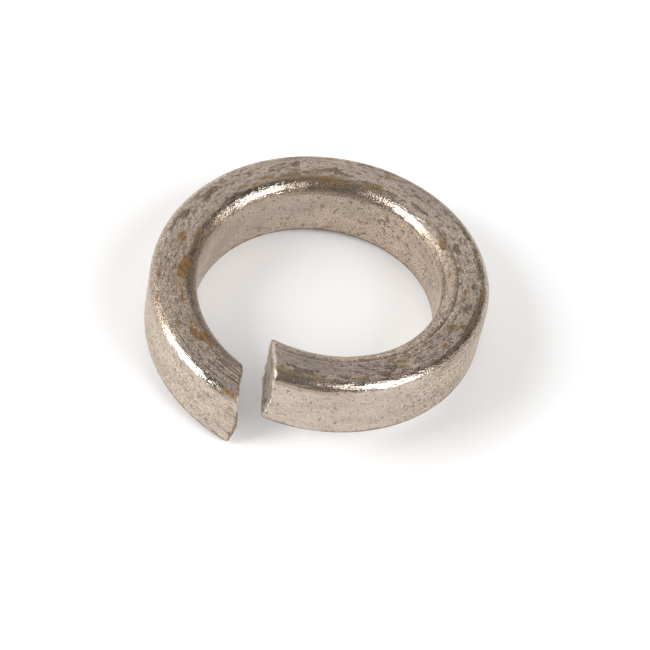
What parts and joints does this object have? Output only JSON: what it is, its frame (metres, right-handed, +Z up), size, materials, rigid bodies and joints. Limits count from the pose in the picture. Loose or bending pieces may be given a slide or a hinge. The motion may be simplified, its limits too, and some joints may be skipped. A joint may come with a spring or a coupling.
{
  "type": "spring lock washer",
  "caption": "Helical spring lock washer with a high collar: one coil of rounded rectangular steel wire with two sheared, offset ends.",
  "frame": {"origin": "the bore's axis, where it meets the surface that the washer lies on", "axes": "+Z up from the surface that the washer lies on, with the open gap towards -Y and -X. The bore's axis leans 6.8 degrees from +Z, towards +X and +Y, because the coil rests on its low end and on its edge opposite."},
  "size_m": [0.0115, 0.0114, 0.0042],
  "materials": {
    "steel": "dull, grained, with rust spots"
  },
  "bodies": {
    "root": {"washer": "steel"}
  },
  "joints": []
}
